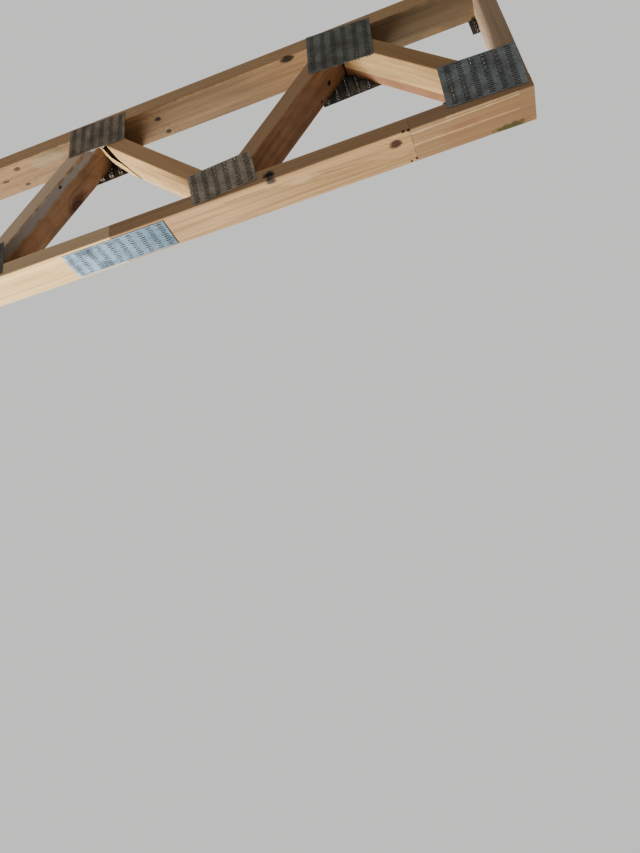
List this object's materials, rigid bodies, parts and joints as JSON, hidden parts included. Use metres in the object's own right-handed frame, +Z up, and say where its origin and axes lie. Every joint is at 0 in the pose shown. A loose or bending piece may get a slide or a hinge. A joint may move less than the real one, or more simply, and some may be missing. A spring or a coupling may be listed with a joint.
{
  "type": "open web timber floor truss",
  "caption": "Parallel chord truss of flat two by fours, with sloping webs, a middle duct opening and toothed steel connector plates.",
  "frame": {"origin": "middle of the truss's outline, on the surface it stands on", "axes": "+X along the truss, +Y across its width, +Z up through its depth"},
  "size_m": [4.8768, 0.0908, 0.4074],
  "materials": {
    "chord_timber": "planed softwood, aged a little",
    "web_timber": "planed softwood, aged and darkened",
    "plate_steel": "galvanised, weathered dark grey",
    "splice_steel": "galvanised, bright and bluish"
  },
  "bodies": {
    "root": {"bottom_chord_long": "chord_timber", "bottom_chord_short": "chord_timber", "chase_bottom_plates_left": "plate_steel", "chase_bottom_plates_right": "plate_steel", "chase_post_left": "web_timber", "chase_post_right": "web_timber", "chase_top_plates_left": "plate_steel", "chase_top_plates_right": "plate_steel", "corner_plates_left": "plate_steel", "corner_plates_right": "plate_steel", "end_post_left": "web_timber", "end_post_right": "web_timber", "heel_plates_left": "plate_steel", "heel_plates_right": "plate_steel", "joint_plates_left_1": "plate_steel", "joint_plates_left_2": "plate_steel", "joint_plates_left_3": "plate_steel", "joint_plates_left_4": "plate_steel", "joint_plates_left_5": "plate_steel", "joint_plates_left_6": "plate_steel", "joint_plates_right_1": "plate_steel", "joint_plates_right_2": "plate_steel", "joint_plates_right_3": "plate_steel", "joint_plates_right_4": "plate_steel", "joint_plates_right_5": "plate_steel", "joint_plates_right_6": "plate_steel", "splice_plate_over": "splice_steel", "splice_plate_under": "splice_steel", "top_chord": "chord_timber", "web_left_1": "web_timber", "web_left_2": "web_timber", "web_left_3": "web_timber", "web_left_4": "web_timber", "web_left_5": "web_timber", "web_left_6": "web_timber", "web_left_7": "web_timber", "web_right_1": "web_timber", "web_right_2": "web_timber", "web_right_3": "web_timber", "web_right_4": "web_timber", "web_right_5": "web_timber", "web_right_6": "web_timber", "web_right_7": "web_timber"}
  },
  "joints": []
}
